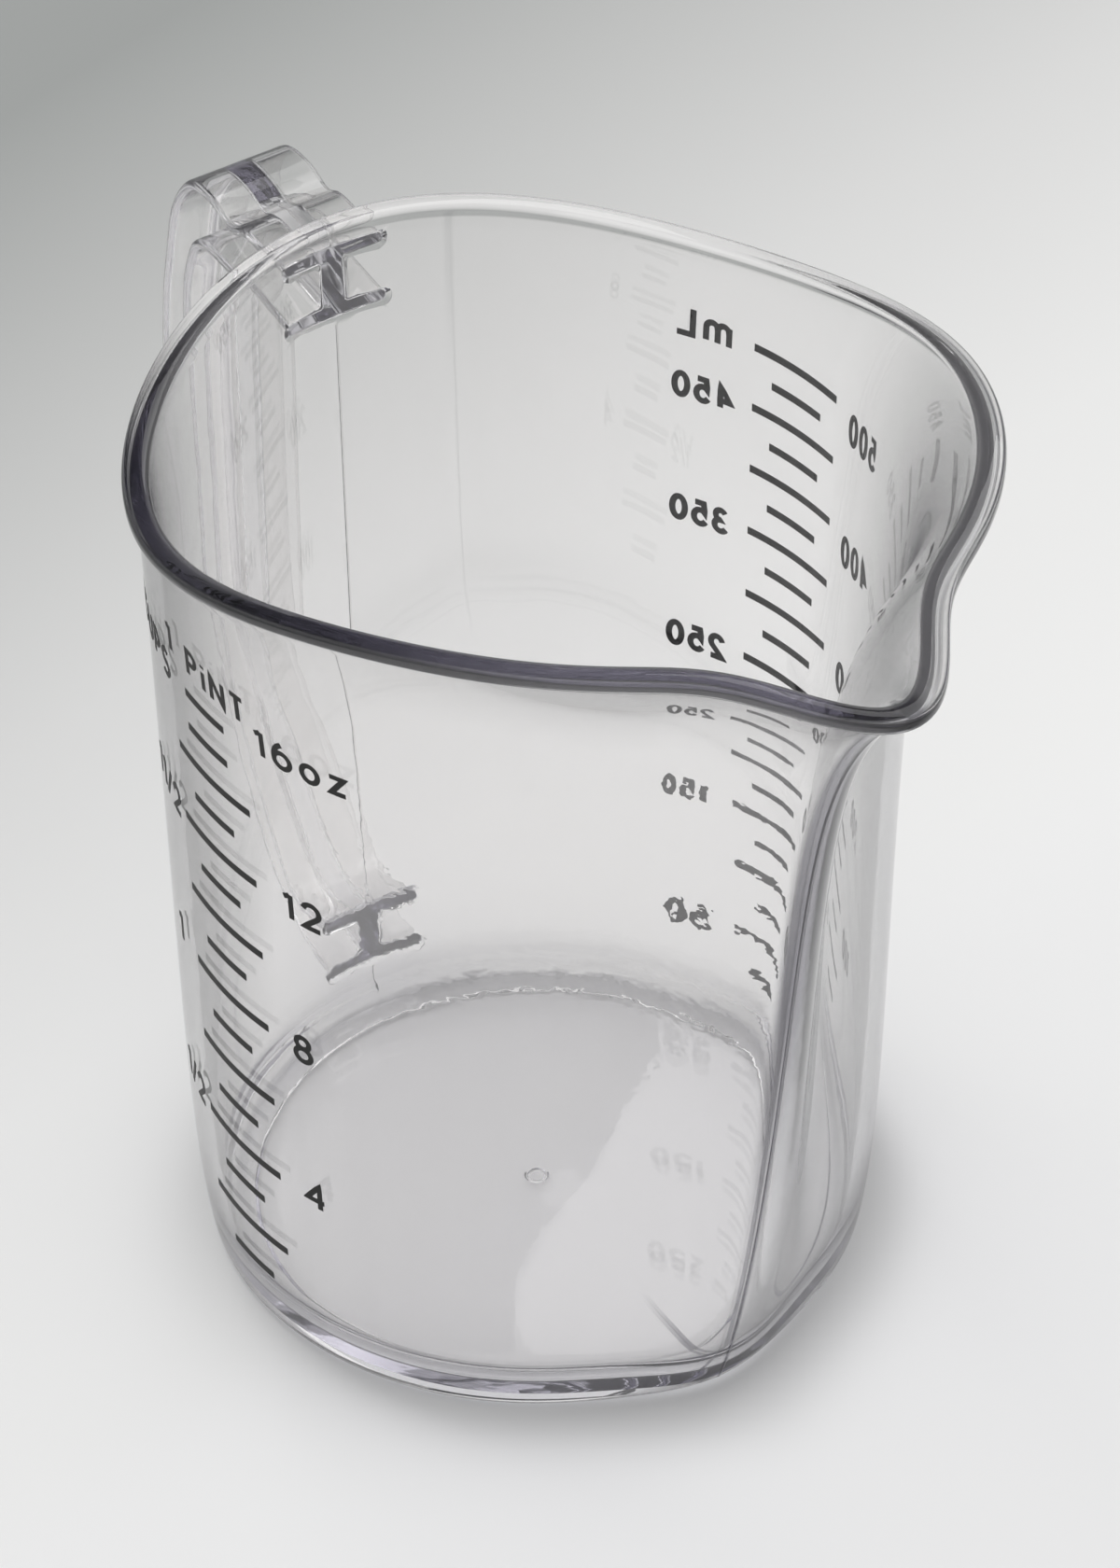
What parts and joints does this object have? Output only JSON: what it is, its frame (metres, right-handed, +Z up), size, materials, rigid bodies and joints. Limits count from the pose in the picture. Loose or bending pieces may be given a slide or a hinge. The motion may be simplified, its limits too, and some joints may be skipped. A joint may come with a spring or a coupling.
{
  "type": "measuring jug",
  "caption": "Clear plastic measuring jug with a keeled pouring spout, an I-section side handle and printed volume marks on both sides.",
  "frame": {"origin": "in the plane the jug stands on, under the middle of its length and width", "axes": "+X towards the spout, -X towards the handle, +Z up; the jug is symmetric about the XZ plane apart from its printed marks"},
  "size_m": [0.1534, 0.0934, 0.131],
  "materials": {
    "clear_plastic": "clear, glossy, very slightly lilac grey",
    "ink": "printed dark grey ink, semi-matt"
  },
  "bodies": {
    "root": {"vessel": "clear_plastic", "handle": "clear_plastic", "ounce_mark_01": "ink", "ounce_mark_02": "ink", "ounce_mark_03": "ink", "ounce_mark_04": "ink", "ounce_mark_05": "ink", "ounce_mark_06": "ink", "ounce_mark_07": "ink", "ounce_mark_08": "ink", "ounce_mark_09": "ink", "ounce_mark_10": "ink", "ounce_mark_11": "ink", "ounce_mark_12": "ink", "ounce_mark_13": "ink", "ounce_mark_14": "ink", "ounce_mark_15": "ink", "ounce_mark_16": "ink", "millilitre_mark_025": "ink", "millilitre_mark_050": "ink", "millilitre_mark_075": "ink", "millilitre_mark_100": "ink", "millilitre_mark_125": "ink", "millilitre_mark_150": "ink", "millilitre_mark_175": "ink", "millilitre_mark_200": "ink", "millilitre_mark_225": "ink", "millilitre_mark_250": "ink", "millilitre_mark_275": "ink", "millilitre_mark_300": "ink", "millilitre_mark_325": "ink", "millilitre_mark_350": "ink", "millilitre_mark_375": "ink", "millilitre_mark_400": "ink", "millilitre_mark_425": "ink", "millilitre_mark_450": "ink", "millilitre_mark_475": "ink", "millilitre_mark_500": "ink"}
  },
  "joints": []
}
